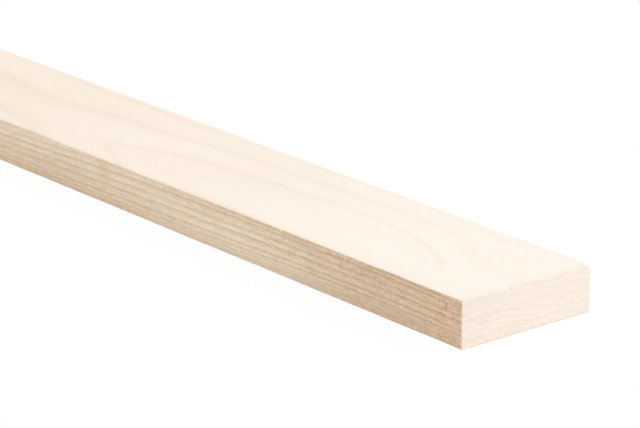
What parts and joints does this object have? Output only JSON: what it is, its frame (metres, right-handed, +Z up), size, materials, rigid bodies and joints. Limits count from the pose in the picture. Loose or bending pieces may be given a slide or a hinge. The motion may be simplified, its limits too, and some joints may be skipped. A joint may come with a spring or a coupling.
{
  "type": "timber lumber plank",
  "caption": "Straight planed softwood board with a flat rectangular section, lightly rounded long arrises and square sawn ends, for framing, shelving and general joinery.",
  "frame": {"origin": "centre of the face the board lies on, midway along its length and across its width", "axes": "+X along the board's length towards the end seen in the picture, +Y across its width, +Z up through its thickness"},
  "size_m": [1.8, 0.095, 0.028],
  "materials": {
    "softwood": "bare planed softwood, pale cream with faint tan growth rings, unfinished and matte"
  },
  "bodies": {
    "root": {"plank": "softwood"}
  },
  "joints": []
}
